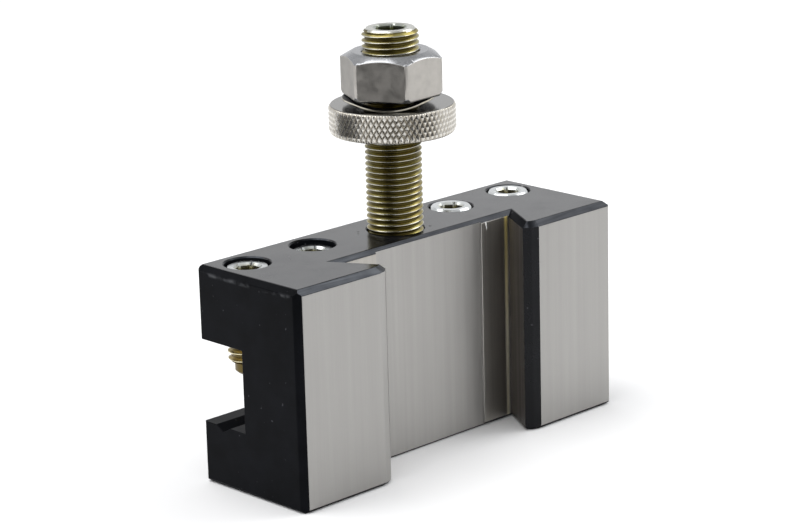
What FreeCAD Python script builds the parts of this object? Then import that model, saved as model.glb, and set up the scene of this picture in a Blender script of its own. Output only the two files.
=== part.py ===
import FreeCAD, Part
import math
import os

# A dovetail tool holder for a lathe's quick change tool post, with its height stud, the two nuts and
# curved washer on that stud, and four clamp screws. Millimetres. +X runs along the tool slot, the
# dovetail faces -Y, the tool slot opens towards +Y, and +Z is up. The origin is in the middle of the
# block's base.

# Block
LENGTH = 92.0
DEPTH = 30.0
HEIGHT = 46.5
TOP_CHAMFER = 1.2
REAR_CHAMFER = 0.4
BASE_CHAMFER = 0.7
LEFT_END_CHAMFER = 1.4
RIGHT_END_CHAMFER = 0.5

# Dovetail in the front face: undercut flanks, rounded noses, and a floor ground deeper in its middle
DOVETAIL_ANGLE = 60.0
DOVETAIL_FLOOR_Y = -4.4
DOVETAIL_HALF_WIDTH = 25.3
NOSE_HALF_WIDTH = 20.2
NOSE_BULGE = 0.4
MOUTH_HALF_WIDTH = 23.4
FINISH_DEPTH = 0.2
GROUND_LEFT = -14.3
GROUND_RIGHT = 16.8
GROUND_DEPTH = 0.3

# Tool slot in the rear face, with a V-groove for round shanks
SLOT_WALL_Y = 2.3
SLOT_FLOOR_Z = 13.2
SLOT_ROOF_Z = 30.85
GROOVE_Y = 9.1
GROOVE_WIDTH = 4.3
GROOVE_DEPTH = 1.2

# Clamp screws, 3/8-16 UNC x 7/8 in with a dog point, from the left end to the right end
SCREW_X = (-38.4, -20.4, 20.4, 38.4)
SCREW_Y = 8.2
SCREW_DEPTH_BELOW_TOP = (0.7, 1.1, -0.2, 0.0)
SCREW_SOCKET_TURN = (30.0, 39.0, 26.0, 53.0)
SCREW_RADIUS = 4.76
SCREW_END_RADIUS = 4.1
SCREW_LENGTH = 22.2
DOG_RADIUS = 3.4
DOG_LENGTH = 2.5
SCREW_KEY = 4.76
SCREW_KEY_DEPTH = 5.0

# Height stud, M12 x 1.25 x 55
STUD_Y = 4.55
STUD_TOP_Z = 89.5
STUD_LENGTH = 55.0
STUD_RADIUS = 6.0
STUD_END_RADIUS = 5.0
STUD_KEY = 6.0
STUD_KEY_DEPTH = 6.0
STUD_SOCKET_TURN = 40.0

# Nuts and curved washer on the stud
KNURLED_NUT_BASE_Z = 67.6
KNURLED_NUT_RADIUS = 13.4
KNURLED_NUT_HEIGHT = 6.0
KNURLED_NUT_CHAMFER = 0.4
WASHER_X = -0.83
WASHER_Y = 4.73
WASHER_THICKNESS = 0.35
WASHER_RADIUS = 9.7
WASHER_BORE_RADIUS = 7.0
WASHER_WAVE = 9.3
WASHER_RISE = 1.18
WASHER_BEND_RADIUS = 26.0
WASHER_TURN = 46.0
LOCK_NUT_FLATS = 19.0
LOCK_NUT_HEIGHT = 9.55
LOCK_NUT_FACE_RADIUS = 8.1
LOCK_NUT_CHAMFER_ANGLE = 30.0
LOCK_NUT_CORNER_ROUND = 0.8
LOCK_NUT_BASE_CHAMFER = 0.45
LOCK_NUT_BASE_RADIUS = 10.2
LOCK_NUT_TURN = 2.7

# Fits
THREAD_CLEARANCE = 0.04
FACE_GAP = 0.05
MOUTH_CHAMFER = 0.3

UP = FreeCAD.Vector(0, 0, 1)
WASHER_BASE_Z = KNURLED_NUT_BASE_Z + KNURLED_NUT_HEIGHT + FACE_GAP
LOCK_NUT_BASE_Z = WASHER_BASE_Z + WASHER_THICKNESS + WASHER_RISE + FACE_GAP


def at(x, y, z=0.0):
    return FreeCAD.Vector(x, y, z)


def prism(points, along):
    """The solid that a closed outline of points sweeps along a vector."""
    return Part.Face(Part.makePolygon(points + points[:1])).extrude(along)


def cylinder(radius, bottom, top, x=0.0, y=0.0):
    return Part.makeCylinder(radius, top - bottom, at(x, y, bottom), UP)


def cone(bottom_radius, top_radius, bottom, top, x=0.0, y=0.0):
    return Part.makeCone(bottom_radius, top_radius, top - bottom, at(x, y, bottom), UP)


def hexagon(flats, bottom, top, turn, x=0.0, y=0.0):
    """A hexagonal prism that measures flats across its flats, with one corner turned from +X."""
    corner = flats / math.sqrt(3)
    angles = [math.radians(turn + 60 * i) for i in range(6)]
    points = [at(x + corner * math.cos(a), y + corner * math.sin(a), bottom) for a in angles]
    return prism(points, UP * (top - bottom))


def mirrored(points):
    """The same points on the other side of the YZ plane, in the opposite order."""
    return [at(-p.x, p.y, p.z) for p in reversed(points)]


def on_flank(depth):
    """The point on the dovetail's right flank that lies this far in front of its floor."""
    return at(DOVETAIL_HALF_WIDTH - depth / math.tan(math.radians(DOVETAIL_ANGLE)), DOVETAIL_FLOOR_Y - depth)


def right_half():
    """The corners of the block's right half seen from above, from the dovetail's rough floor to the rear."""
    corner = on_flank(FINISH_DEPTH)
    nose = on_flank((DOVETAIL_HALF_WIDTH - NOSE_HALF_WIDTH) * math.tan(math.radians(DOVETAIL_ANGLE)))
    mouth = at(MOUTH_HALF_WIDTH, -DEPTH / 2)
    chord = mouth - nose
    bulge = (nose + mouth) / 2 + at(chord.y, -chord.x).normalize() * NOSE_BULGE
    end = LENGTH / 2
    return [corner, nose, bulge, mouth, at(end, -DEPTH / 2), at(end, DEPTH / 2)]


def edge_wedge(start, end, inward, other_inward, size):
    """The wedge that a 45 degree chamfer takes off a straight edge, run past both of the edge's ends."""
    run = (end - start).normalize()
    corner = start - run
    points = [
        corner + inward * (size + 1) - other_inward,
        corner + other_inward * (size + 1) - inward,
        corner - inward - other_inward,
    ]
    return prism(points, end - start + run * 2)


def is_level(edge, z):
    return all(abs(v.Z - z) < 1e-6 for v in edge.Vertexes)


def chamfered_block():
    """The block with its edges broken: wide chamfers on top, smaller ones at the rear and base."""
    end = LENGTH / 2
    front = -DEPTH / 2
    block = prism(mirrored(right_half()) + right_half(), UP * HEIGHT)
    top = [e for e in block.Edges if is_level(e, HEIGHT) and e.CenterOfMass.y < DEPTH / 2 - 1]
    block = block.makeChamfer(TOP_CHAMFER, top)
    block = block.cut(finish_cut()).removeSplitter()
    block = block.makeChamfer(BASE_CHAMFER, [e for e in block.Edges if is_level(e, 0)])
    rear_top = edge_wedge(at(-end, -front, HEIGHT), at(end, -front, HEIGHT), at(0, -1), -UP, REAR_CHAMFER)
    block = block.cut(rear_top)
    for side, size in ((-1, LEFT_END_CHAMFER), (1, RIGHT_END_CHAMFER)):
        x = side * end
        inward = at(-side, 0)
        block = block.cut(edge_wedge(at(x, front), at(x, front, HEIGHT), inward, at(0, 1), size))
        block = block.cut(edge_wedge(at(x, -front), at(x, -front, HEIGHT), inward, at(0, -1), REAR_CHAMFER))
    return block


def finish_cut():
    """What comes off the dovetail's rough floor after its top edge is broken, which narrows that chamfer."""
    outline = [on_flank(2 * FINISH_DEPTH) - UP, on_flank(0) - UP]
    return prism(outline + mirrored(outline), UP * (HEIGHT + 2))


def ground_floor():
    """What grinding takes off the middle of the floor, further out to the right than to the left."""
    rear = DOVETAIL_FLOOR_Y + GROUND_DEPTH
    front = DOVETAIL_FLOOR_Y - 1
    outline = [
        at(GROUND_RIGHT, front, -1),
        at(GROUND_RIGHT, rear, -1),
        at(GROUND_LEFT, rear, -1),
        at(GROUND_LEFT, front, -1),
    ]
    return prism(outline, UP * (HEIGHT + 2))


def tool_slot():
    """The open slot through the whole length of the block, and the V-groove in its floor."""
    start = -LENGTH / 2 - 1
    along = at(LENGTH + 2, 0)
    rear = DEPTH / 2 + 1
    slot = prism(
        [
            at(start, SLOT_WALL_Y, SLOT_FLOOR_Z),
            at(start, rear, SLOT_FLOOR_Z),
            at(start, rear, SLOT_ROOF_Z),
            at(start, SLOT_WALL_Y, SLOT_ROOF_Z),
        ],
        along,
    )
    groove = prism(
        [
            at(start, GROOVE_Y - GROOVE_WIDTH / 2, SLOT_FLOOR_Z),
            at(start, GROOVE_Y, SLOT_FLOOR_Z - GROOVE_DEPTH),
            at(start, GROOVE_Y + GROOVE_WIDTH / 2, SLOT_FLOOR_Z),
        ],
        along,
    )
    return slot.fuse(groove)


def tapped_hole(radius, x, y):
    """The space of a threaded hole from the block's top into the tool slot, with a broken mouth."""
    hole = cylinder(radius, SLOT_ROOF_Z - 1, HEIGHT + 1, x, y)
    mouth = cone(radius, radius + MOUTH_CHAMFER, HEIGHT - MOUTH_CHAMFER, HEIGHT, x, y)
    return hole.fuse(mouth)


def holder_body():
    block = chamfered_block()
    cuts = [ground_floor(), tool_slot()]
    cuts.append(tapped_hole(STUD_RADIUS + THREAD_CLEARANCE, 0, STUD_Y))
    for x in SCREW_X:
        cuts.append(tapped_hole(SCREW_RADIUS + THREAD_CLEARANCE, x, SCREW_Y))
    for cut in cuts:
        block = block.cut(cut)
    return block


def key_socket(flats, depth, top, turn, x, y):
    """The space for a hexagonal key, with a drilled cone at its bottom."""
    drill = flats / 2
    socket = hexagon(flats, top - depth, top + 1, turn, x, y)
    return socket.fuse(cone(0.2, drill, top - depth - drill * 0.5, top - depth, x, y))


def threaded_rod(radius, end_radius, bottom, top, x, y):
    """A rod at its thread's major diameter, chamfered at 45 degrees at both ends."""
    run = radius - end_radius
    rod = cylinder(radius, bottom + run, top - run, x, y)
    rod = rod.fuse(cone(end_radius, radius, bottom, bottom + run, x, y))
    return rod.fuse(cone(radius, end_radius, top - run, top, x, y))


def height_stud():
    bottom = STUD_TOP_Z - STUD_LENGTH
    stud = threaded_rod(STUD_RADIUS, STUD_END_RADIUS, bottom, STUD_TOP_Z, 0, STUD_Y)
    socket = key_socket(STUD_KEY, STUD_KEY_DEPTH, STUD_TOP_Z, STUD_SOCKET_TURN, 0, STUD_Y)
    return stud.cut(socket).removeSplitter()


def clamp_screw(index):
    """One clamp screw: a threaded shank over a plain dog point that presses on the tool."""
    x = SCREW_X[index]
    top = HEIGHT - SCREW_DEPTH_BELOW_TOP[index]
    tip = top - SCREW_LENGTH
    tip_chamfer = 0.5
    shank = threaded_rod(SCREW_RADIUS, SCREW_END_RADIUS, tip + DOG_LENGTH, top, x, SCREW_Y)
    dog = cylinder(DOG_RADIUS, tip + tip_chamfer, tip + DOG_LENGTH, x, SCREW_Y)
    end = cone(DOG_RADIUS - tip_chamfer, DOG_RADIUS, tip, tip + tip_chamfer, x, SCREW_Y)
    socket = key_socket(SCREW_KEY, SCREW_KEY_DEPTH, top, SCREW_SOCKET_TURN[index], x, SCREW_Y)
    return shank.fuse(dog).fuse(end).cut(socket).removeSplitter()


def nut_bore(bottom, top):
    """The space of a nut's threaded bore on the stud, with a broken mouth at each end."""
    radius = STUD_RADIUS + THREAD_CLEARANCE
    bore = cylinder(radius, bottom - 1, top + 1, 0, STUD_Y)
    lower = cone(radius + MOUTH_CHAMFER, radius, bottom, bottom + MOUTH_CHAMFER, 0, STUD_Y)
    upper = cone(radius, radius + MOUTH_CHAMFER, top - MOUTH_CHAMFER, top, 0, STUD_Y)
    return bore.fuse(lower).fuse(upper)


def knurled_height_nut():
    bottom = KNURLED_NUT_BASE_Z
    top = bottom + KNURLED_NUT_HEIGHT
    disc = cylinder(KNURLED_NUT_RADIUS, bottom, top, 0, STUD_Y)
    rims = [e for e in disc.Edges if is_level(e, bottom) or is_level(e, top)]
    return disc.makeChamfer(KNURLED_NUT_CHAMFER, rims).cut(nut_bore(bottom, top))


def hex_lock_nut():
    """A hexagon nut with rounded corners, turned to a shallow cone on top and a steep one at its base."""
    bottom = LOCK_NUT_BASE_Z
    top = bottom + LOCK_NUT_HEIGHT
    middle = (bottom + top) / 2
    spread = LOCK_NUT_FACE_RADIUS + LOCK_NUT_HEIGHT / 2 / math.tan(math.radians(LOCK_NUT_CHAMFER_ANGLE))
    base_spread = LOCK_NUT_BASE_RADIUS + LOCK_NUT_HEIGHT / 2 * math.tan(math.radians(LOCK_NUT_CHAMFER_ANGLE))
    blank = hexagon(LOCK_NUT_FLATS, bottom, top, LOCK_NUT_TURN, 0, STUD_Y)
    corners = [e for e in blank.Edges if not is_level(e, bottom) and not is_level(e, top)]
    blank = blank.makeFillet(LOCK_NUT_CORNER_ROUND, corners)
    blank = blank.makeChamfer(LOCK_NUT_BASE_CHAMFER, [e for e in blank.Edges if is_level(e, bottom)])
    lower = cone(LOCK_NUT_BASE_RADIUS, base_spread, bottom, middle, 0, STUD_Y)
    upper = cone(spread, LOCK_NUT_FACE_RADIUS, middle, top, 0, STUD_Y)
    return blank.common(lower.fuse(upper)).cut(nut_bore(bottom, top))


def wave_washer():
    """A thin ring bent to a wave, off centre: its middle rests and both sides lie under the nut."""
    turn = 2 * math.atan(WASHER_RISE / WASHER_WAVE)
    side_radius = WASHER_WAVE / math.sin(turn) - WASHER_BEND_RADIUS
    angle = math.radians(WASHER_TURN)
    straight = at(math.cos(angle), math.sin(angle))
    across = at(math.sin(angle), -math.cos(angle))
    reach = WASHER_RADIUS + 1

    def spot(along, z):
        return at(WASHER_X, WASHER_Y, z) + across * along - straight * reach

    def surface(base, middle, side):
        """The edges of one face of the bent sheet, from its left side to its right side."""
        crest = base + WASHER_RISE
        join = middle * math.sin(turn)
        join_z = base + middle * (1 - math.cos(turn))
        bend = WASHER_WAVE - side * math.sin(turn / 2)
        bend_z = crest - side * (1 - math.cos(turn / 2))
        return [
            Part.makeLine(spot(-reach, crest), spot(-WASHER_WAVE, crest)),
            Part.Arc(spot(-WASHER_WAVE, crest), spot(-bend, bend_z), spot(-join, join_z)).toShape(),
            Part.Arc(spot(-join, join_z), spot(0, base), spot(join, join_z)).toShape(),
            Part.Arc(spot(join, join_z), spot(bend, bend_z), spot(WASHER_WAVE, crest)).toShape(),
            Part.makeLine(spot(WASHER_WAVE, crest), spot(reach, crest)),
        ]

    low = WASHER_BASE_Z
    high = WASHER_BASE_Z + WASHER_THICKNESS
    edges = surface(low, WASHER_BEND_RADIUS, side_radius)
    edges += surface(high, WASHER_BEND_RADIUS - WASHER_THICKNESS, side_radius + WASHER_THICKNESS)
    for side in (-reach, reach):
        edges.append(Part.makeLine(spot(side, low + WASHER_RISE), spot(side, high + WASHER_RISE)))
    sheet = Part.Face(Part.Wire(Part.sortEdges(edges)[0])).extrude(straight * 2 * reach)
    ring = cylinder(WASHER_RADIUS, low - 1, high + 3, WASHER_X, WASHER_Y)
    ring = ring.cut(cylinder(WASHER_BORE_RADIUS, low - 2, high + 4, WASHER_X, WASHER_Y))
    return sheet.common(ring)


def single_solid(shape):
    """The one solid that a boolean's result holds."""
    if len(shape.Solids) != 1 or not shape.Solids[0].isValid():
        raise ValueError("expected one valid solid")
    return shape.Solids[0]


nodes = {
    "holder_body": holder_body(),
    "height_stud": height_stud(),
    "knurled_height_nut": knurled_height_nut(),
    "wave_washer": wave_washer(),
    "hex_lock_nut": hex_lock_nut(),
}
for number in range(len(SCREW_X)):
    nodes["clamp_screw_%d" % (number + 1)] = clamp_screw(number)

os.makedirs("parts", exist_ok=True)
for name, shape in nodes.items():
    solid = single_solid(shape)
    solid.exportStep("parts/%s.step" % name)
    box = solid.BoundBox
    print(name, "volume %.1f" % solid.Volume, "z %.2f to %.2f" % (box.ZMin, box.ZMax))
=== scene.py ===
"""The looks of a dovetail tool holder for a quick change tool post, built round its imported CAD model.

Everything is in metres in the CAD model's frame: +X along the tool slot, the dovetail facing -Y, +Z up.
Sizes that belong to the looks alone, such as thread roots, the knurl and worn edges, are named here.
"""

import math

import bmesh
import bpy
import numpy as np
from mathutils import Matrix, Vector


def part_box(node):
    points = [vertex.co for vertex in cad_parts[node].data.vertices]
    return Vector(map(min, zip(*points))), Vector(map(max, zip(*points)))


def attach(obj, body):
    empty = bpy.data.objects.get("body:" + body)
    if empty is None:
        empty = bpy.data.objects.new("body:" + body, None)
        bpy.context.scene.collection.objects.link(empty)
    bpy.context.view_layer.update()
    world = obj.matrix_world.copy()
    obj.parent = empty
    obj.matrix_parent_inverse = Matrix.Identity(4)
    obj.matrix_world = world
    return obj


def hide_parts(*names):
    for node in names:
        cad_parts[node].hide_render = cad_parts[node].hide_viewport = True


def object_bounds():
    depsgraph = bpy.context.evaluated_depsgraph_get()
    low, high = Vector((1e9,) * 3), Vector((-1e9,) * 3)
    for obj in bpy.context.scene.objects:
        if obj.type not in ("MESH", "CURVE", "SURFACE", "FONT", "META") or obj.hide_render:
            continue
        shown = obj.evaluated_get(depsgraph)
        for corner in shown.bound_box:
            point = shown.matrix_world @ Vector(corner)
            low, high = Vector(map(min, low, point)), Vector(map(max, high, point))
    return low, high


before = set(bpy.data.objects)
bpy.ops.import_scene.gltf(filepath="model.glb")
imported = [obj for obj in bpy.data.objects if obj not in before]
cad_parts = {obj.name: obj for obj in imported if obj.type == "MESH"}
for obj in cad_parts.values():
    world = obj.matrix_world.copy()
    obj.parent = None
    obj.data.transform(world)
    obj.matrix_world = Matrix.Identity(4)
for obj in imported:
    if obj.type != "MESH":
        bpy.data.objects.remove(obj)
cad_low, cad_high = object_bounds()

MM = 0.001
TURN = 2 * math.pi

# Threads: pitch, depth, where the helix starts and how much of the upper end stays plain; the major
# diameters come from the CAD nodes
STUD_PITCH = 1.25 * MM
STUD_THREAD_DEPTH = 0.68 * MM
STUD_THREAD_SHIFT = -0.45 * MM
STUD_PLAIN_END = 0.3 * MM
SCREW_PITCH = 25.4 / 16 * MM
SCREW_THREAD_DEPTH = 0.97 * MM
SCREW_PLAIN_END = 0.6 * MM
SCREW_BRIGHT_END = 1.2 * MM
THREAD_SEGMENTS = 96

# Ends of the stud and the clamp screws
STUD_END_RADIUS = 5 * MM
STUD_KEY = 6 * MM
STUD_KEY_DEPTH = 6 * MM
STUD_KEY_MOUTH = 0.3 * MM
STUD_SOCKET_TURN = math.radians(40)
SCREW_END_RADIUS = 4.1 * MM
SCREW_KEY = 4.76 * MM
SCREW_KEY_DEPTH = 5 * MM
SCREW_KEY_MOUTH = 0.5 * MM
SCREW_SOCKET_TURN = [math.radians(turn) for turn in (30, 39, 26, 53)]
DOG_RADIUS = 3.4 * MM
DOG_LENGTH = 2.5 * MM
DOG_CHAMFER = 0.5 * MM

# Knurled nut: teeth round the rim, how far a tooth's helix climbs before it meets the next one, mesh steps
# per tooth, and how near to a groove, in teeth, the middle of a quad lies that the groove runs through
KNURL_TEETH = 70
KNURL_RISE = 2.08 * MM
KNURL_DEPTH = 0.45 * MM
KNURL_STEPS = 4
KNURL_NEAR_GROOVE = 0.13
KNURL_LEAD_IN = 0.16 * MM
NUT_CHAMFER = 0.55 * MM
NUT_BORE_CLEARANCE = 0.04 * MM
NUT_BORE_MOUTH = 0.3 * MM

# Dovetail and top chamfer, for telling the block's ground faces from the blackened ones
DOVETAIL_HALF_WIDTH = 25.3 * MM
DOVETAIL_FLOOR_Y = -4.4 * MM
GROUND_LEFT = -14.3 * MM
GROUND_RIGHT = 16.8 * MM
GROUND_FLOOR_Y = -4.1 * MM
NOSE_TIP_Y = -13.2 * MM
TOP_CHAMFER = 1.2 * MM

# How far the block's edges are rounded, and the area above which a face is shaded flat
EDGE_ROUND = 0.12 * MM
LARGE_FACE = 20 * MM * MM

# Marks: pits in the black top, as x, y and radius in mm, and a painted highlight along the corner of the
# dovetail's floor
TOP_PITS = ((-7.46, 8.12, 0.28), (5.72, -0.1, 0.3), (-8.6, 6.9, 0.2), (22.5, -6.3, 0.18), (-31.0, 3.4, 0.16))
CORNER_HIGHLIGHT_X = 24.3 * MM
CORNER_HIGHLIGHT_HALF_WIDTH = 0.42 * MM


def near(a, b, tolerance=0.02 * MM):
    return abs(a - b) < tolerance


# ---------------------------------------------------------------- mesh helpers


def mesh_object(name, vertices, faces):
    mesh = bpy.data.meshes.new(name)
    mesh.from_pydata([tuple(v) for v in vertices], [], faces)
    mesh.validate()
    obj = bpy.data.objects.new(name, mesh)
    bpy.context.scene.collection.objects.link(obj)
    return obj


def tidy_mesh(obj, merge=0.5e-6):
    """Merges coincident points, drops collapsed faces and turns every face outwards."""
    bm = bmesh.new()
    bm.from_mesh(obj.data)
    bmesh.ops.remove_doubles(bm, verts=bm.verts, dist=merge)
    bmesh.ops.dissolve_degenerate(bm, edges=bm.edges, dist=merge)
    bmesh.ops.recalc_face_normals(bm, faces=bm.faces)
    bm.to_mesh(obj.data)
    bm.free()


def shade(obj, sharp_angle):
    obj.data.shade_smooth()
    obj.data.set_sharp_from_angle(angle=math.radians(sharp_angle))
    for face in obj.data.polygons:
        if face.area > LARGE_FACE:
            face.use_smooth = False


def cad_copy(name, node, round_edges=0.0, least_length=2 * MM, least_angle=25):
    """A new piece with a CAD node's shape, its flat faces whole and its long sharp edges slightly rounded."""
    bm = bmesh.new()
    bm.from_mesh(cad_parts[node].data)
    bmesh.ops.remove_doubles(bm, verts=bm.verts, dist=1e-7)
    bmesh.ops.dissolve_limit(bm, angle_limit=math.radians(0.4), verts=bm.verts, edges=bm.edges)
    if round_edges:
        least_turn = math.radians(least_angle)
        sharp = [
            e
            for e in bm.edges
            if e.is_manifold and e.calc_length() > least_length and e.calc_face_angle() > least_turn
        ]
        bmesh.ops.bevel(
            bm, geom=sharp, offset=round_edges, segments=2, profile=0.5, affect="EDGES", clamp_overlap=False
        )
    bmesh.ops.recalc_face_normals(bm, faces=bm.faces)
    mesh = bpy.data.meshes.new(name)
    bm.to_mesh(mesh)
    bm.free()
    obj = bpy.data.objects.new(name, mesh)
    bpy.context.scene.collection.objects.link(obj)
    return obj


def finish_piece(obj, body, node, materials):
    for material in materials:
        obj.data.materials.append(material)
    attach(obj, body)
    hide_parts(node)
    return obj


def paint_faces(obj, choose):
    """Gives each face the material index that choose(centre, normal) returns."""
    for face in obj.data.polygons:
        face.material_index = choose(face.center, face.normal)


# ---------------------------------------------------------------- turned and threaded pieces


def hexagon_radius(angles, flats, turn):
    """The distance from the axis to a hexagon's outline at each angle; one corner is at the turn."""
    side = TURN / 6
    from_flat = (angles - turn) % side - side / 2
    return flats / 2 / np.cos(from_flat)


class Turned:
    """A closed surface round a vertical axis, built up as rings of points from its lower end upwards."""

    def __init__(self, x, y, start_angle, segments):
        self.x = x
        self.y = y
        self.angles = start_angle + TURN * np.arange(segments) / segments
        self.segments = segments
        self.vertices = []
        self.faces = []
        self.last = None

    def point_row(self, radii, heights):
        first = len(self.vertices)
        for angle, radius, z in zip(self.angles, radii, heights):
            self.vertices.append((self.x + radius * math.cos(angle), self.y + radius * math.sin(angle), z))
        return first

    def join(self, low, high):
        for i in range(self.segments):
            j = (i + 1) % self.segments
            self.faces.append((low + i, low + j, high + j, high + i))

    def ring(self, radius, z):
        """Adds a level ring; the radius is a number or one per angle."""
        radii = np.broadcast_to(radius, self.segments)
        first = self.point_row(radii, np.full(self.segments, z))
        if self.last is not None:
            self.join(self.last, first)
        self.last = first

    def tip(self, z):
        """Closes the surface at a point on the axis."""
        index = len(self.vertices)
        self.vertices.append((self.x, self.y, z))
        for i in range(self.segments):
            self.faces.append((self.last + i, self.last + (i + 1) % self.segments, index))
        self.last = None

    def start_tip(self, radius, z):
        """Starts the surface with a flat disc on the axis."""
        self.ring(radius, z)
        index = len(self.vertices)
        self.vertices.append((self.x, self.y, z))
        for i in range(self.segments):
            self.faces.append((self.last + (i + 1) % self.segments, self.last + i, index))

    def thread(self, radius, depth, pitch, low, high, low_radius, high_radius, shift, plain):
        """Adds a right-hand thread between level ends chamfered at 45 degrees; its upper end stays plain."""
        # How far along the pitch each row lies, and its share of the thread's depth
        profile = (
            (-0.085, 0.07), (-0.045, 0.0), (0.045, 0.0), (0.085, 0.07),
            (0.355, 0.93), (0.41, 1.0), (0.59, 1.0), (0.645, 0.93),
        )
        steps = len(profile)
        climb = pitch * np.arange(self.segments) / self.segments
        turns = int((high - low) / pitch) + 4
        rows = []
        for turn in range(turns):
            for along, down in profile:
                z = low + shift + pitch * (turn - 2 + along) + climb
                level = np.clip(z, low, high)
                limit = np.minimum(low_radius + level - low, high_radius + high - level)
                sunk = depth * down * np.clip((high - plain - level) / (0.3 * pitch), 0, 1)
                radii = np.minimum(radius - sunk, limit)
                radii = np.where(z <= low, low_radius, radii)
                radii = np.where(z >= high, high_radius, radii)
                rows.append(self.point_row(radii, level))
        for k in range(len(rows) - steps - 1):
            for i in range(self.segments):
                if i + 1 < self.segments:
                    right, upper_right = rows[k] + i + 1, rows[k + 1] + i + 1
                else:
                    right, upper_right = rows[k + steps], rows[k + 1 + steps]
                self.faces.append((rows[k] + i, right, upper_right, rows[k + 1] + i))
        self.last = rows[-1]

    def socket(self, flats, depth, turn, top, mouth):
        """Sinks a hexagonal key socket into the upper end, with a countersunk mouth and a drilled bottom."""
        corners = hexagon_radius(self.angles, flats, turn)
        self.ring(np.maximum(corners, flats / math.sqrt(3)) + mouth * 0.35, top)
        self.ring(corners, top - mouth)
        self.ring(corners, top - depth)
        drill = flats * 0.49
        drill_cone = flats * 0.24
        self.ring(drill, top - depth)
        self.tip(top - depth - drill_cone)

    def build(self, name, sharp_angle=35):
        obj = mesh_object(name, self.vertices, self.faces)
        tidy_mesh(obj)
        shade(obj, sharp_angle)
        return obj


# ---------------------------------------------------------------- material helpers


class Shader:
    """A principled material and short ways to add the nodes that drive it."""

    def __init__(self, name, **sockets):
        self.material = bpy.data.materials.new(name)
        self.material.use_nodes = True
        self.tree = self.material.node_tree
        self.surface = self.tree.nodes["Principled BSDF"]
        for socket, value in sockets.items():
            self.surface.inputs[socket.replace("_", " ")].default_value = value
        self.place = self.node("ShaderNodeTexCoord").outputs["Object"]

    def node(self, kind, settings=(), **inputs):
        made = self.tree.nodes.new(kind)
        for key, value in dict(settings).items():
            setattr(made, key, value)
        for key, value in inputs.items():
            self.feed(made.inputs[key.replace("_", " ")], value)
        return made

    def feed(self, socket, value):
        if isinstance(value, bpy.types.NodeSocket):
            self.tree.links.new(value, socket)
        else:
            socket.default_value = value

    def set(self, socket, value):
        self.feed(self.surface.inputs[socket], value)

    def scaled(self, scale, shift=(0, 0, 0)):
        """The object's own coordinates, shifted and then stretched; a larger scale gives finer detail."""
        moved = self.node("ShaderNodeVectorMath", {"operation": "ADD"})
        self.feed(moved.inputs[0], self.place)
        moved.inputs[1].default_value = shift
        made = self.node("ShaderNodeVectorMath", {"operation": "MULTIPLY"})
        self.feed(made.inputs[0], moved.outputs[0])
        made.inputs[1].default_value = scale
        return made.outputs[0]

    def noise(self, scale, detail=3.0, roughness=0.55):
        made = self.node("ShaderNodeTexNoise", Scale=1.0, Detail=detail, Roughness=roughness)
        self.feed(made.inputs["Vector"], self.scaled(scale))
        return made.outputs["Fac"]

    def math(self, operation, a, b=0.0, clamp=False):
        made = self.node("ShaderNodeMath", {"operation": operation, "use_clamp": clamp})
        self.feed(made.inputs[0], a)
        self.feed(made.inputs[1], b)
        return made.outputs[0]

    def ramp(self, value, low, high, to_low=0.0, to_high=1.0):
        made = self.node("ShaderNodeMapRange", {"clamp": True})
        self.feed(made.inputs["Value"], value)
        made.inputs["From Min"].default_value = low
        made.inputs["From Max"].default_value = high
        made.inputs["To Min"].default_value = to_low
        made.inputs["To Max"].default_value = to_high
        return made.outputs["Result"]

    def mix(self, share, a, b):
        made = self.node("ShaderNodeMix", {"data_type": "RGBA"})
        self.feed(made.inputs["Factor"], share)
        self.feed(made.inputs["A"], (*a, 1) if isinstance(a, tuple) else a)
        self.feed(made.inputs["B"], (*b, 1) if isinstance(b, tuple) else b)
        return made.outputs["Result"]

    def axis(self, name):
        made = self.node("ShaderNodeSeparateXYZ")
        self.feed(made.inputs[0], self.place)
        return made.outputs[name]

    def line(self, value, centre, half_width, soft):
        """One where the value is at the centre, falling to zero past the half width."""
        away = self.math("ABSOLUTE", self.math("SUBTRACT", value, centre))
        return self.ramp(away, half_width, half_width + soft, 1.0, 0.0)

    def radius(self, x, y):
        """The distance from a vertical axis."""
        flat = self.scaled((1, 1, 0), (-x, -y, 0))
        made = self.node("ShaderNodeVectorMath", {"operation": "LENGTH"})
        self.feed(made.inputs[0], flat)
        return made.outputs["Value"]

    def bump(self, height, distance, strength=1.0):
        made = self.node("ShaderNodeBump", Strength=strength, Distance=distance)
        self.feed(made.inputs["Height"], height)
        self.feed(self.surface.inputs["Normal"], made.outputs["Normal"])


# ---------------------------------------------------------------- materials


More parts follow.
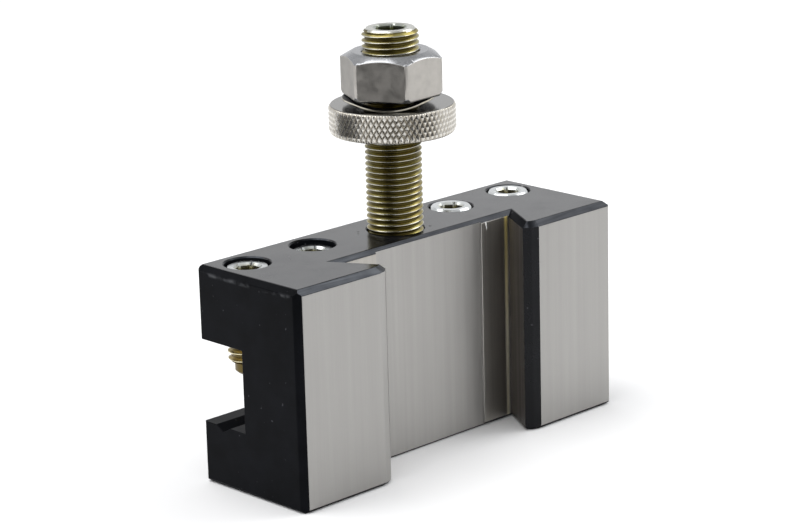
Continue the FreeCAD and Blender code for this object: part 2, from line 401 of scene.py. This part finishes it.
def black_oxide(name, specular, roughness, grain_axis, pits=(), scratch=False):
    """Blackened steel: a thin dark skin over milling marks across one axis, with paler specks of dust."""
    shader = Shader(name, Metallic=0.0, IOR=1.5, Specular_IOR_Level=specular)
    cloud = shader.noise((160, 160, 160), detail=5)
    fine = shader.noise((2600, 2600, 2600), detail=2)
    streaks = shader.noise(tuple(3200 if axis == grain_axis else 90 for axis in "XYZ"), detail=2)
    tone = shader.mix(shader.ramp(cloud, 0.35, 0.7), (0.0022, 0.0025, 0.0034), (0.005, 0.0055, 0.0074))
    specks = shader.ramp(shader.noise((900, 900, 900), detail=1), 0.755, 0.8)
    tone = shader.mix(shader.math("MULTIPLY", specks, 0.5), tone, (0.09, 0.09, 0.1))
    rough = shader.math("ADD", shader.ramp(cloud, 0.3, 0.7, roughness - 0.05, roughness + 0.06),
                        shader.ramp(fine, 0.3, 0.7, -0.03, 0.03))
    relief = shader.math("ADD", shader.math("MULTIPLY", streaks, 0.6), shader.math("MULTIPLY", fine, 0.4))
    if scratch:
        tone = shader.mix(rub_marks(shader), tone, (0.16, 0.165, 0.175))
    for x, y, radius in pits:
        pit = shader.ramp(shader.radius(x * MM, y * MM), radius * MM * 0.6, radius * MM * 1.3, 1.0, 0.0)
        tone = shader.mix(pit, tone, (0.001, 0.001, 0.001))
        rough = shader.math("MAXIMUM", rough, shader.math("MULTIPLY", pit, 0.95))
        relief = shader.math("SUBTRACT", relief, shader.math("MULTIPLY", pit, 9.0))
    shader.set("Base Color", tone)
    shader.set("Roughness", rough)
    shader.bump(relief, 0.004 * MM, 0.5)
    return shader.material


def rub_marks(shader):
    """Where the left end is rubbed pale: a few short, soft patches just under its top edge."""
    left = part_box("holder_body")[0].x
    on_end = shader.ramp(shader.axis("X"), left + 0.3 * MM, left + 0.5 * MM, 1.0, 0.0)
    band = shader.line(shader.axis("Z"), 44.95 * MM, 0.1 * MM, 0.45 * MM)
    patches = shader.ramp(shader.noise((40, 330, 500), detail=3), 0.46, 0.68, 0.0, 0.36)
    return shader.math("MULTIPLY", shader.math("MULTIPLY", on_end, band), patches)


def worn_chamfer(name, light, dark, roughness):
    """A chamfer where the black finish is thin, with fine marks along its length; its colour grows darker
    from the left towards the right.
    """
    shader = Shader(name, Metallic=1.0)
    along = shader.noise((110, 2600, 2600), detail=4)
    cloud = shader.noise((220, 220, 220), detail=4)
    share = shader.math("ADD", shader.math("MULTIPLY", along, 0.6), shader.math("MULTIPLY", cloud, 0.4))
    tone = shader.mix(shader.ramp(share, 0.38, 0.64), dark, light)
    darker_to_right = shader.ramp(shader.axis("X"), -24 * MM, -6 * MM, 0.0, 0.42)
    shader.set("Base Color", shader.mix(darker_to_right, tone, (0.002, 0.002, 0.003)))
    shader.set("Roughness", shader.ramp(share, 0.3, 0.7, roughness + 0.05, roughness - 0.05))
    shader.bump(along, 0.006 * MM, 0.45)
    return shader.material


def ground_steel(name, light, dark, roughness, nick_and_highlight=False):
    """Ground steel: fine upright lines of uneven width and shine; when asked, also the dovetail's real nick
    and a painted highlight near its corner.
    """
    shader = Shader(name, Metallic=1.0)
    lines = shader.noise((7000, 7000, 60), detail=4, roughness=0.6)
    bands = shader.noise((700, 700, 12), detail=3)
    cloud = shader.noise((45, 45, 30), detail=3)
    shares = shader.math("ADD", shader.math("MULTIPLY", lines, 0.45), shader.math("MULTIPLY", bands, 0.35))
    shares = shader.math("ADD", shares, shader.math("MULTIPLY", cloud, 0.2))
    tone = shader.mix(shader.ramp(shares, 0.36, 0.64), dark, light)
    rough = shader.ramp(lines, 0.3, 0.7, roughness - 0.06, roughness + 0.08)
    if nick_and_highlight:
        across = shader.math("ABSOLUTE", shader.axis("X"))
        # Painted highlight: a bright golden line near the corner where the floor meets the flank, standing in
        # for light caught along the corner groove; the nick is real wear
        corner_highlight = shader.line(across, CORNER_HIGHLIGHT_X, CORNER_HIGHLIGHT_HALF_WIDTH * 0.7, CORNER_HIGHLIGHT_HALF_WIDTH)
        corner_highlight = shader.math("MULTIPLY", corner_highlight, shader.ramp(lines, 0.25, 0.6, 0.55, 1.0))
        upward = shader.ramp(shader.axis("Z"), 20 * MM, 46 * MM)
        highlight_gold = shader.mix(upward, (0.98, 0.94, 0.78), (0.95, 0.80, 0.30))
        nick = edge_nick(shader)
        tone = shader.mix(nick, shader.mix(corner_highlight, tone, highlight_gold), (0.98, 0.98, 0.96))
        rough = shader.math("ADD", rough, shader.math("MULTIPLY", shader.math("MAXIMUM", corner_highlight, nick), 0.3))
    shader.set("Base Color", tone)
    shader.set("Roughness", rough)
    shader.bump(lines, 0.005 * MM, 0.4)
    return shader.material


def stained_steel(name):
    """The dovetail's blackened flanks: brownish black with upright marks."""
    shader = Shader(name, Metallic=0.0, IOR=1.5, Specular_IOR_Level=0.3)
    lines = shader.noise((2600, 2600, 22), detail=4)
    bands = shader.noise((420, 420, 9), detail=3)
    share = shader.math("ADD", shader.math("MULTIPLY", lines, 0.5), shader.math("MULTIPLY", bands, 0.5))
    tone = shader.mix(shader.ramp(share, 0.36, 0.66), (0.046, 0.041, 0.037), (0.096, 0.085, 0.076))
    shader.set("Base Color", tone)
    shader.set("Roughness", shader.ramp(share, 0.3, 0.7, 0.5, 0.34))
    shader.bump(lines, 0.008 * MM, 0.45)
    return shader.material


def edge_nick(shader):
    """The bright nick that runs down from the top edge of the dovetail's right side floor."""
    height = shader.axis("Z")
    drift = shader.ramp(height, 43.6 * MM, 46.2 * MM, 18.5 * MM, 18.05 * MM)
    offset = shader.math("SUBTRACT", shader.axis("X"), drift)
    width = shader.ramp(height, 43.4 * MM, 45.8 * MM, 0.02 * MM, 0.26 * MM)
    outside = shader.math("SUBTRACT", shader.math("ABSOLUTE", offset), width)
    inside = shader.ramp(outside, 0.0, 0.1 * MM, 1.0, 0.0)
    return shader.math("MULTIPLY", inside, shader.ramp(height, 43.5 * MM, 44.2 * MM))


def plated_thread(name, x, y, crest, root, light, groove):
    """Plated thread: worn pale along the narrow crests and yellow in the roots, with painted shade darkening
    the flanks towards the roots.
    """
    shader = Shader(name, Metallic=1.0)
    height = shader.ramp(shader.radius(x, y), root, crest)
    cloud = shader.noise((260, 260, 260), detail=4)
    faded = tuple(c * f for c, f in zip(groove, (1.35, 1.5, 1.9)))
    hue = shader.mix(shader.ramp(cloud, 0.35, 0.65), groove, faded)
    # Painted shade: the flanks darken to a third of the groove colour down towards the roots
    flank = shader.mix(shader.ramp(height, 0.0, 0.45), tuple(c * 0.35 for c in groove), hue)
    worn = shader.math("ADD", height, shader.ramp(cloud, 0.3, 0.7, -0.08, 0.08))
    worn = shader.ramp(worn, 0.80, 1.0)
    shader.set("Base Color", shader.mix(worn, flank, light))
    shader.set("Roughness", shader.ramp(worn, 0.0, 1.0, 0.36, 0.22))
    shader.bump(shader.noise((3000, 3000, 1200), detail=3), 0.006 * MM, 0.35)
    return shader.material


def socket_grime_and_painted_shade(name, top, fade, mouth, middle, bottom):
    """A key socket's walls: bright at the mouth, yellow below it and nearly black further down, the darkening
    with depth being painted shade with some grime.
    """
    shader = Shader(name, Metallic=1.0)
    cloud = shader.noise((700, 700, 500), detail=4)
    depth = shader.math("SUBTRACT", top, shader.axis("Z"))
    depth = shader.math("ADD", depth, shader.ramp(cloud, 0.3, 0.7, -0.15 * fade, 0.15 * fade))
    tone = shader.mix(shader.ramp(depth, 0.1 * fade, 0.45 * fade), mouth, middle)
    # Painted shade with some grime: the walls darken to nearly black with depth
    shader.set("Base Color", shader.mix(shader.ramp(depth, 0.45 * fade, fade), tone, bottom))
    shader.set("Roughness", shader.ramp(cloud, 0.3, 0.7, 0.26, 0.4))
    shader.bump(cloud, 0.01 * MM, 0.4)
    return shader.material


def knurled_rim(name, x, y, outer, light, groove):
    """Plated knurling: bright points, and darker grooves, partly from the dirt they hold and partly painted
    shade.
    """
    shader = Shader(name, Metallic=1.0)
    cloud = shader.noise((500, 500, 500), detail=4)
    height = shader.ramp(shader.radius(x, y), outer - KNURL_DEPTH, outer - 0.05 * MM)
    share = shader.math("ADD", height, shader.ramp(cloud, 0.3, 0.7, -0.2, 0.2))
    # Darker down towards the grooves: partly dirt and partly painted shade
    shader.set("Base Color", shader.mix(shader.ramp(share, 0.05, 0.85), groove, light))
    shader.set("Roughness", shader.ramp(share, 0.0, 1.0, 0.32, 0.18))
    shader.bump(shader.noise((3600, 3600, 3600), detail=2), 0.003 * MM, 0.3)
    return shader.material


def plated(name, light, dark, roughness, scale=(420, 420, 420)):
    """Plain plating with a slight cloud in its colour and shine."""
    shader = Shader(name, Metallic=1.0)
    cloud = shader.noise(scale, detail=5)
    fine = shader.noise((4200, 4200, 4200), detail=2)
    shader.set("Base Color", shader.mix(shader.ramp(cloud, 0.32, 0.68), dark, light))
    shader.set("Roughness", shader.ramp(cloud, 0.3, 0.7, roughness - 0.05, roughness + 0.07))
    shader.bump(fine, 0.004 * MM, 0.4)
    return shader.material


def turned_face(name, x, y, light, dark, roughness):
    """Plated metal with the fine rings that turning leaves round an axis."""
    shader = Shader(name, Metallic=1.0)
    radius = shader.radius(x, y)
    turning = shader.node("ShaderNodeTexNoise", {"noise_dimensions": "1D"}, Scale=9000.0, Detail=3.0)
    shader.feed(turning.inputs["W"], radius)
    rings = turning.outputs["Fac"]
    cloud = shader.noise((300, 300, 300), detail=4)
    share = shader.math("ADD", shader.math("MULTIPLY", rings, 0.5), shader.math("MULTIPLY", cloud, 0.5))
    shader.set("Base Color", shader.mix(shader.ramp(share, 0.38, 0.62), dark, light))
    shader.set("Roughness", shader.ramp(share, 0.3, 0.7, roughness - 0.05, roughness + 0.06))
    shader.bump(rings, 0.005 * MM, 0.4)
    return shader.material


def worn_black(name, x, y, rim):
    """Blackened spring steel, rubbed bright near its rim."""
    shader = Shader(name, Metallic=1.0)
    cloud = shader.noise((500, 500, 500), detail=4)
    near_rim = shader.ramp(shader.radius(x, y), rim - 0.35 * MM, rim)
    worn = shader.math("ADD", near_rim, shader.ramp(cloud, 0.3, 0.7, -0.3, 0.3), clamp=True)
    shader.set("Base Color", shader.mix(worn, (0.014, 0.014, 0.016), (0.06, 0.058, 0.055)))
    shader.set("Roughness", shader.ramp(worn, 0.0, 1.0, 0.45, 0.3))
    shader.bump(cloud, 0.01 * MM, 0.4)
    return shader.material


# ---------------------------------------------------------------- holder body


def holder_body():
    low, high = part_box("holder_body")
    front = low.y
    body = cad_copy("holder_block", "holder_body", EDGE_ROUND)
    materials = [
        black_oxide("black_oxide_top", 0.66, 0.19, "Y", pits=TOP_PITS),
        black_oxide("black_oxide_side", 0.04, 0.36, "Z", scratch=True),
        ground_steel("ground_steel_boss", (0.365, 0.357, 0.344), (0.322, 0.315, 0.303), 0.34),
        ground_steel("ground_steel_channel", (0.425, 0.415, 0.40), (0.365, 0.357, 0.343), 0.50),
        ground_steel("ground_steel_side", (0.47, 0.452, 0.418), (0.36, 0.343, 0.317), 0.42, nick_and_highlight=True),
        stained_steel("stained_steel"),
        black_oxide("black_oxide_nose", 0.16, 0.24, "Z"),
        worn_chamfer("worn_chamfer", (0.043, 0.046, 0.051), (0.024, 0.026, 0.030), 0.34),
    ]

    top, side, boss, channel, side_floor, flank, nose, chamfer = range(len(materials))

    def choose(centre, normal):
        upright = abs(normal.z) < 0.3
        if normal.y < -0.4 and upright and centre.y < front + 0.15 * MM:
            return boss
        out = abs(centre.x) - DOVETAIL_HALF_WIDTH
        over_ground = GROUND_LEFT - 0.1 * MM < centre.x < GROUND_RIGHT + 0.1 * MM
        if over_ground and upright and near(centre.y, GROUND_FLOOR_Y, 0.28 * MM):
            return channel
        if out < 0.1 * MM and upright and centre.y < DOVETAIL_FLOOR_Y + 0.2 * MM:
            if near(centre.y, DOVETAIL_FLOOR_Y, 0.1 * MM) and out < -0.3 * MM:
                return side_floor
            if centre.y > NOSE_TIP_Y:
                return flank
            return boss if centre.x < 0 else nose
        if high.z - centre.z < TOP_CHAMFER and 0.3 < normal.z < 0.95 and normal.y < -0.1:
            return chamfer
        return top if normal.z > 0.5 and high.z - centre.z < 0.2 * MM else side

    paint_faces(body, choose)
    shade(body, 30)
    finish_piece(body, "holder", "holder_body", materials)


# ---------------------------------------------------------------- stud and screws

# Places in the material lists of the stud and the screws
THREAD, END, SOCKET = range(3)


def middle(node):
    low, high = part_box(node)
    return (low.x + high.x) / 2, (low.y + high.y) / 2


def height_stud():
    low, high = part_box("height_stud")
    x, y = middle("height_stud")
    crest = (high.x - low.x) / 2
    stud = Turned(x, y, STUD_SOCKET_TURN, THREAD_SEGMENTS)
    stud.start_tip(STUD_END_RADIUS, low.z)
    stud.thread(crest, STUD_THREAD_DEPTH, STUD_PITCH, low.z, high.z, STUD_END_RADIUS, STUD_END_RADIUS,
                STUD_THREAD_SHIFT, STUD_PLAIN_END)
    stud.socket(STUD_KEY, STUD_KEY_DEPTH, STUD_SOCKET_TURN, high.z, STUD_KEY_MOUTH)
    obj = stud.build("threaded_stud")
    thread = plated_thread("stud_thread", x, y, crest, crest - STUD_THREAD_DEPTH,
                           (0.49, 0.48, 0.43), (0.225, 0.18, 0.05))
    end = turned_face("stud_end", x, y, (0.53, 0.53, 0.49), (0.44, 0.44, 0.39), 0.25)
    # The last socket colour, nearly black deep down, is painted shade with some grime
    socket = socket_grime_and_painted_shade("stud_socket", high.z, 2.2 * MM, (0.36, 0.38, 0.34), (0.12, 0.13, 0.05),
                         (0.01, 0.012, 0.008))

    def choose(centre, normal):
        radius = math.hypot(centre.x - x, centre.y - y)
        if radius < STUD_KEY / math.sqrt(3) + 0.05 * MM and centre.z > low.z + 1 * MM:
            return SOCKET
        return END if centre.z > high.z - STUD_PLAIN_END else THREAD

    paint_faces(obj, choose)
    finish_piece(obj, "holder", "height_stud", [thread, end, socket])


def clamp_screw(number):
    node = "clamp_screw_%d" % number
    low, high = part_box(node)
    x, y = middle(node)
    crest = (high.x - low.x) / 2
    turn = SCREW_SOCKET_TURN[number - 1]
    screw = Turned(x, y, turn, THREAD_SEGMENTS)
    screw.start_tip(DOG_RADIUS - DOG_CHAMFER, low.z)
    screw.ring(DOG_RADIUS, low.z + DOG_CHAMFER)
    screw.ring(DOG_RADIUS, low.z + DOG_LENGTH)
    shank = low.z + DOG_LENGTH
    screw.ring(SCREW_END_RADIUS, shank)
    screw.thread(crest, SCREW_THREAD_DEPTH, SCREW_PITCH, shank, high.z, SCREW_END_RADIUS, SCREW_END_RADIUS,
                 0.0, SCREW_PLAIN_END)
    screw.socket(SCREW_KEY, SCREW_KEY_DEPTH, turn, high.z, SCREW_KEY_MOUTH)
    obj = screw.build("set_screw_%d" % number)
    thread = plated_thread(node + "_thread", x, y, crest, crest - SCREW_THREAD_DEPTH,
                           (0.75, 0.68, 0.46), (0.36, 0.27, 0.10))
    end = turned_face(node + "_end", x, y, (0.70, 0.72, 0.72), (0.56, 0.58, 0.58), 0.22)
    # The last socket colour, nearly black deep down, is painted shade with some grime
    socket = socket_grime_and_painted_shade(node + "_socket", high.z, 2.4 * MM, (0.62, 0.64, 0.62), (0.34, 0.31, 0.17),
                         (0.02, 0.018, 0.012))

    def choose(centre, normal):
        radius = math.hypot(centre.x - x, centre.y - y)
        if centre.z < high.z - SCREW_BRIGHT_END and radius > SCREW_KEY / math.sqrt(3) + 0.05 * MM:
            return THREAD
        if centre.z < shank:
            return THREAD
        if radius < SCREW_KEY / math.sqrt(3) + 0.02 * MM and normal.z < 0.9:
            return SOCKET
        return END

    paint_faces(obj, choose)
    finish_piece(obj, "screw_%d" % number, node, [thread, end, socket])


# ---------------------------------------------------------------- nuts and washer


def knurl_radius(outer, around, along):
    """The rim's radius where around counts teeth and along counts rises of the knurl's helices."""
    left = around + along
    right = around - along
    rise = np.minimum(np.abs(left - np.round(left)), np.abs(right - np.round(right)))
    return outer - KNURL_DEPTH * (1 - np.minimum(rise / 0.5, 1))


def knurled_nut():
    low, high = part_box("knurled_height_nut")
    x, y = middle("knurled_height_nut")
    outer = (high.x - low.x) / 2
    segments = KNURL_TEETH * KNURL_STEPS
    step = KNURL_RISE / KNURL_STEPS
    face_radius = outer - NUT_CHAMFER
    stud_low, stud_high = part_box("height_stud")
    bore = (stud_high.x - stud_low.x) / 2 + NUT_BORE_CLEARANCE
    angles = TURN * np.arange(segments) / segments
    around = KNURL_TEETH * angles / TURN
    centre_z = (low.z + high.z) / 2
    rows = int((high.z - low.z) / step) + 1
    smooth = NUT_CHAMFER - KNURL_DEPTH
    edge_levels = (0.0, smooth, smooth + KNURL_LEAD_IN)
    levels = [low.z + z for z in edge_levels]
    inner = [centre_z + step * (k - rows // 2) for k in range(rows + 1)]
    levels += [z for z in inner if low.z + NUT_CHAMFER <= z <= high.z - NUT_CHAMFER]
    levels += [high.z - z for z in reversed(edge_levels)]
    vertices = []
    faces = []

    def ring(radii, z):
        first = len(vertices)
        for angle, radius in zip(angles, np.broadcast_to(radii, segments)):
            vertices.append((x + radius * math.cos(angle), y + radius * math.sin(angle), z))
        return first

    def band(first, second, split=None):
        for i in range(segments):
            j = (i + 1) % segments
            a, b, c, d = first + i, first + j, second + j, second + i
            if split is None:
                faces.append((a, b, c, d))
            elif split(i):
                faces.extend(((a, b, c), (a, c, d)))
            else:
                faces.extend(((a, b, d), (b, c, d)))

    previous = None
    for z in levels:
        along = (z - centre_z) / KNURL_RISE
        limit = face_radius + min(z - low.z, high.z - z)
        row = ring(np.minimum(knurl_radius(outer, around, along), limit), z)
        if previous is not None:
            low_row, low_along = previous

            def split(i, a=low_along, b=along):
                """Whether a groove climbing to the right crosses the quad, which is then split along it."""
                mid = (around[i] + 0.5 / KNURL_STEPS) - (a + b) / 2
                return abs(mid - round(mid)) < KNURL_NEAR_GROOVE

            band(low_row, row, split)
        else:
            bottom = row
        previous = (row, along)
    top = previous[0]
    mouth = bore + NUT_BORE_MOUTH
    top_mouth = ring(mouth, high.z)
    top_bore = ring(bore, high.z - NUT_BORE_MOUTH)
    low_bore = ring(bore, low.z + NUT_BORE_MOUTH)
    low_mouth = ring(mouth, low.z)
    around_bore = [top, top_mouth, top_bore, low_bore, low_mouth, bottom]
    for first, second in zip(around_bore, around_bore[1:]):
        band(first, second)
    obj = mesh_object("knurled_nut", vertices, faces)
    tidy_mesh(obj)
    obj.data.shade_flat()
    # The groove colour is partly dirt and partly painted shade
    rim = knurled_rim("knurl_nickel", x, y, outer, (0.76, 0.74, 0.695), (0.42, 0.39, 0.335))
    face = turned_face("knurled_nut_face", x, y, (0.195, 0.192, 0.178), (0.16, 0.157, 0.146), 0.17)
    paint_faces(obj, lambda centre, normal: 0 if low.z + smooth < centre.z < high.z - smooth else 1)
    finish_piece(obj, "knurled_nut", "knurled_height_nut", [rim, face])


def hex_nut():
    x, y = middle("hex_lock_nut")
    obj = cad_copy("hex_nut", "hex_lock_nut", 0.18 * MM, least_length=0.3 * MM, least_angle=12)
    shade(obj, 30)
    flats = plated("nut_flats", (0.45, 0.43, 0.40), (0.37, 0.355, 0.33), 0.34)
    ends = turned_face("nut_ends", x, y, (0.335, 0.34, 0.35), (0.275, 0.28, 0.29), 0.26)
    paint_faces(obj, lambda centre, normal: 1 if abs(normal.z) > 0.3 else 0)
    finish_piece(obj, "lock_nut", "hex_lock_nut", [flats, ends])


def curved_washer():
    low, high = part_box("wave_washer")
    x, y = middle("wave_washer")
    rim = (high.x - low.x) / 2
    obj = cad_copy("curved_washer", "wave_washer", 0.05 * MM, least_length=0.05 * MM, least_angle=50)

    def choose(centre, normal):
        on_rim = math.hypot(centre.x - x, centre.y - y) > rim - 0.1 * MM
        return 1 if on_rim and abs(normal.z) < 0.8 else 0

    paint_faces(obj, choose)
    shade(obj, 30)
    black = worn_black("black_spring_steel", x, y, rim)
    edge = plated("washer_edge", (0.72, 0.69, 0.60), (0.52, 0.48, 0.38), 0.3)
    finish_piece(obj, "spring_washer", "wave_washer", [black, edge])


holder_body()
height_stud()
knurled_nut()
curved_washer()
hex_nut()
for screw_number in (1, 2, 3, 4):
    clamp_screw(screw_number)


# ---------------------------------------------------------------- camera, floor and light

CAMERA_PLACE = Vector((-0.385007, -0.394361, 0.196543))
CAMERA_AZIMUTH = math.radians(-44.04)
CAMERA_ELEVATION = math.radians(15.95)
CAMERA_ROLL = math.radians(-1.55)
CAMERA_LENS = 122.83
WORLD_HORIZON = 1.1
WORLD_ZENITH = 0.6


def make_camera():
    back = Vector((
        math.sin(CAMERA_AZIMUTH) * math.cos(CAMERA_ELEVATION),
        -math.cos(CAMERA_AZIMUTH) * math.cos(CAMERA_ELEVATION),
        math.sin(CAMERA_ELEVATION),
    ))
    level = Vector((math.cos(CAMERA_AZIMUTH), math.sin(CAMERA_AZIMUTH), 0))
    upright = back.cross(level)
    right = level * math.cos(CAMERA_ROLL) + upright * math.sin(CAMERA_ROLL)
    up = upright * math.cos(CAMERA_ROLL) - level * math.sin(CAMERA_ROLL)
    data = bpy.data.cameras.new("camera")
    data.lens = CAMERA_LENS
    data.sensor_width = 36
    data.clip_start = 0.01
    camera = bpy.data.objects.new("camera", data)
    bpy.context.scene.collection.objects.link(camera)
    turn = Matrix((right, up, back)).transposed().to_4x4()
    camera.matrix_world = Matrix.Translation(CAMERA_PLACE) @ turn
    bpy.context.scene.camera = camera


def make_floor():
    half = 3.0
    floor = mesh_object("floor", [(-half, -half, 0), (half, -half, 0), (half, half, 0), (-half, half, 0)],
                        [(0, 1, 2, 3)])
    floor.location.z = cad_low.z
    shader = Shader("floor_paper", Roughness=0.9, Specular_IOR_Level=0.1)
    shader.set("Base Color", shader.mix(shader.noise((8, 8, 8)), (0.90, 0.90, 0.90), (0.92, 0.92, 0.92)))
    floor.data.materials.append(shader.material)


def area_light(name, place, target, size, power):
    data = bpy.data.lights.new(name, "AREA")
    data.shape = "RECTANGLE"
    data.size, data.size_y = size
    data.energy = power
    light = bpy.data.objects.new(name, data)
    bpy.context.scene.collection.objects.link(light)
    light.location = place
    light.rotation_euler = (Vector(target) - Vector(place)).to_track_quat("-Z", "Y").to_euler()


def flag(name, place, target, size, tone):
    """A card that the polished faces turned to it reflect; the camera doesn't see it."""
    across, high = size[0] / 2, size[1] / 2
    card = mesh_object(name, [(-across, -high, 0), (across, -high, 0), (across, high, 0), (-across, high, 0)],
                       [(0, 1, 2, 3)])
    card.location = place
    card.rotation_euler = (Vector(target) - Vector(place)).to_track_quat("Z", "Y").to_euler()
    shader = Shader(name + "_cloth", Roughness=1.0, Specular_IOR_Level=0.0)
    shader.set("Base Color", shader.mix(shader.noise((50, 50, 50)), (tone, tone, tone), (tone + 0.01,) * 3))
    card.data.materials.append(shader.material)
    card.visible_camera = False
    card.visible_shadow = False
    card.visible_diffuse = False


def make_world():
    """A pale room, a little brighter towards the horizon than overhead."""
    world = bpy.data.worlds.new("studio")
    world.use_nodes = True
    nodes = world.node_tree.nodes
    links = world.node_tree.links
    place = nodes.new("ShaderNodeTexCoord")
    split = nodes.new("ShaderNodeSeparateXYZ")
    strength = nodes.new("ShaderNodeMapRange")
    strength.inputs["From Max"].default_value = 0.9
    strength.inputs["To Min"].default_value = WORLD_HORIZON
    strength.inputs["To Max"].default_value = WORLD_ZENITH
    links.new(place.outputs["Generated"], split.inputs[0])
    links.new(split.outputs["Z"], strength.inputs["Value"])
    links.new(strength.outputs["Result"], nodes["Background"].inputs["Strength"])
    nodes["Background"].inputs["Color"].default_value = (0.98, 0.985, 1.0, 1)
    bpy.context.scene.world = world


make_camera()
make_floor()
make_world()
area_light("key", (-0.25, 0.25, 0.9), (0, 0, 0.04), (0.7, 0.7), 5.5)
area_light("fill", (0.6, -0.25, 0.62), (0, 0, 0.04), (0.5, 0.5), 3)
flag("flag_left", (-0.165, -0.095, 0.102), (0, 0, 0.102), (0.22, 0.194), 0.02)
flag("flag_back", (0.035, 0.19, 0.04), (0, 0, 0.08), (0.08, 0.05), 0.45)
bpy.context.scene.view_settings.view_transform = "Standard"
